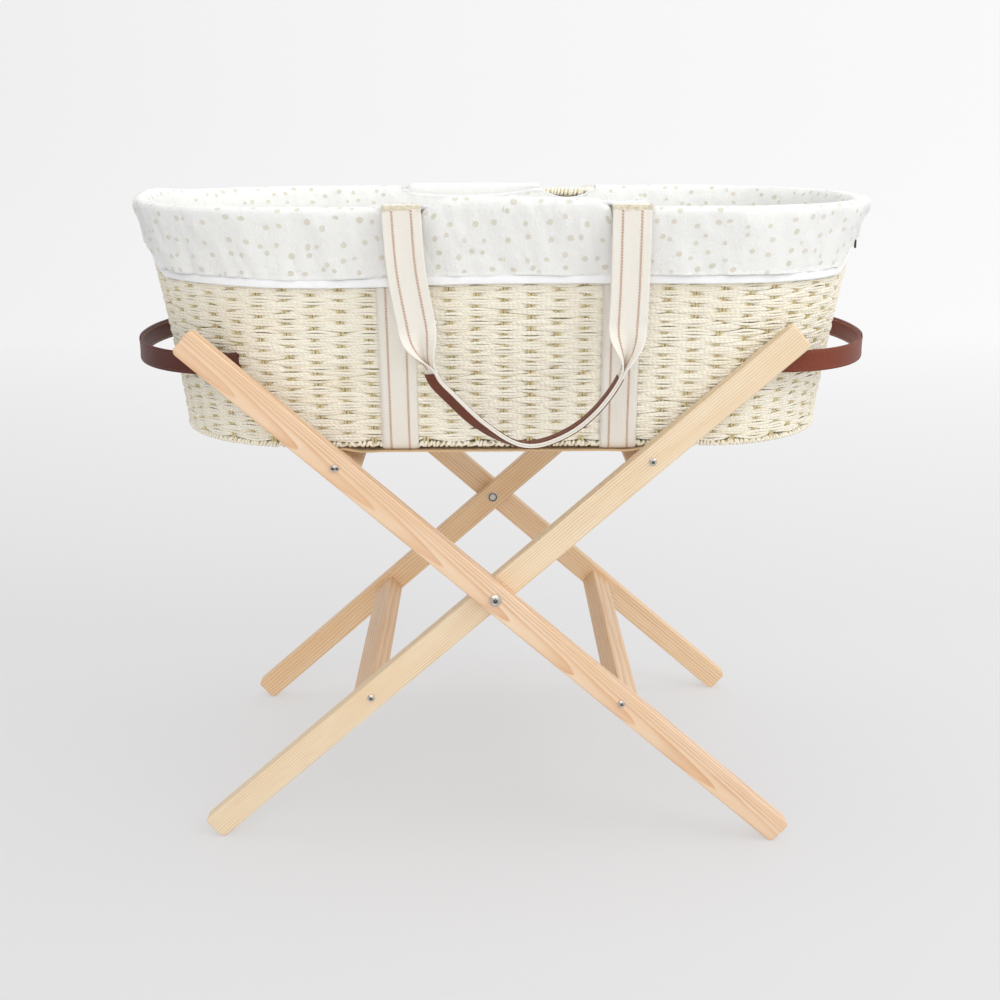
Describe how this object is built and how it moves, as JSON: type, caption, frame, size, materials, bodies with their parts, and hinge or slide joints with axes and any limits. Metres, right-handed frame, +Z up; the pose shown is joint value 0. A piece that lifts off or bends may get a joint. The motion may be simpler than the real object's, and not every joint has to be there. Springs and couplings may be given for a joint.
{
  "type": "bassinet on stand",
  "caption": "Woven rope baby basket with a dotted cotton liner, webbing carry handles and leather end handles, resting on a folding cross-legged pine stand.",
  "frame": {"origin": "on the floor, under the middle of the basket", "axes": "+X along the basket to the right as seen from the front, +Y from the front to the back, +Z up"},
  "size_m": [0.851, 0.4702, 0.7288],
  "materials": {
    "pine_golden": "clear matte finish, straight yellow grain",
    "pine_pinkish": "clear matte finish, pinkish cathedral grain",
    "pine_rail": "clear matte finish",
    "dowel_beech": "plain",
    "nickel_hardware": "nickel plated, domed",
    "cotton_webbing": "woven cotton webbing with brown stitching",
    "paper_rope": "twisted paper rope, plain weave",
    "dotted_muslin": "crinkled muslin with small pale spots",
    "white_binding": "smooth bias binding",
    "mattress_cover": "fine cotton jersey",
    "brown_leather": "smooth tanned leather"
  },
  "bodies": {
    "inner_frame": {"inner_leg_front": "pine_golden", "inner_leg_rear": "pine_golden", "inner_top_rail": "pine_rail", "inner_bottom_rail": "pine_rail", "inner_frame_screws": "nickel_hardware", "inner_frame_dowels": "dowel_beech", "pivot_bolt_front": "nickel_hardware", "pivot_bolt_rear": "nickel_hardware", "pivot_cap_front": "nickel_hardware", "pivot_cap_rear": "nickel_hardware", "pivot_washers": "nickel_hardware", "safety_strap_front": "cotton_webbing", "safety_strap_rear": "cotton_webbing"},
    "outer_frame": {"outer_leg_front": "pine_pinkish", "outer_leg_rear": "pine_pinkish", "outer_top_rail": "pine_rail", "outer_bottom_rail": "pine_rail", "outer_frame_screws": "nickel_hardware", "outer_frame_dowels": "dowel_beech"},
    "basket": {"basket_wall": "paper_rope", "basket_rim_border": "paper_rope", "basket_foot_border": "paper_rope", "basket_base": "paper_rope", "liner": "dotted_muslin", "liner_hem_binding": "white_binding", "webbing_band_left": "cotton_webbing", "webbing_band_right": "cotton_webbing", "strap_roots_front": "cotton_webbing", "strap_roots_rear": "cotton_webbing", "end_handle_tabs": "brown_leather"},
    "mattress": {"mattress": "mattress_cover"},
    "carry_handle_front": {"carry_strap_front_left": "cotton_webbing", "carry_strap_front_right": "cotton_webbing", "carry_grip_front": "brown_leather"},
    "carry_handle_rear": {"carry_strap_rear_left": "cotton_webbing", "carry_strap_rear_right": "cotton_webbing", "carry_grip_rear": "brown_leather"},
    "end_handle_left": {"end_handle_left": "brown_leather"},
    "end_handle_right": {"end_handle_right": "brown_leather"}
  },
  "joints": [
    {"name": "stand_fold", "type": "hinge", "parent": "inner_frame", "child": "outer_frame", "pos_m": [-0.01, 0, 0.30334], "axis": [0, 1, 0], "range_deg": [0, 86], "deforming": ["safety_strap_front", "safety_strap_rear"]},
    {"name": "basket_lift", "type": "slide", "parent": "inner_frame", "child": "basket", "axis": [0, 0, 1], "range_m": [0, 0.3183]},
    {"name": "mattress_lift", "type": "slide", "parent": "basket", "child": "mattress", "axis": [0, 0, 1], "range_m": [0, 0.3]},
    {"name": "carry_handle_front_swing", "type": "hinge", "parent": "basket", "child": "carry_handle_front", "pos_m": [0.013, -0.2192, 0.7246], "axis": [-1, 0, 0], "range_deg": [0, 175]},
    {"name": "carry_handle_rear_swing", "type": "hinge", "parent": "basket", "child": "carry_handle_rear", "pos_m": [0.013, 0.2192, 0.7246], "axis": [1, 0, 0], "range_deg": [0, 175]},
    {"name": "end_handle_left_lift", "type": "hinge", "parent": "basket", "child": "end_handle_left", "pos_m": [-0.297, 0, 0.56], "axis": [0, 1, 0], "range_deg": [0, 22]},
    {"name": "end_handle_right_lift", "type": "hinge", "parent": "basket", "child": "end_handle_right", "pos_m": [0.297, 0, 0.56], "axis": [0, -1, 0], "range_deg": [0, 22]}
  ],
  "couplings": [
    {"joint": "basket_lift", "follows": "stand_fold", "m_per_rad": 0.212}
  ]
}
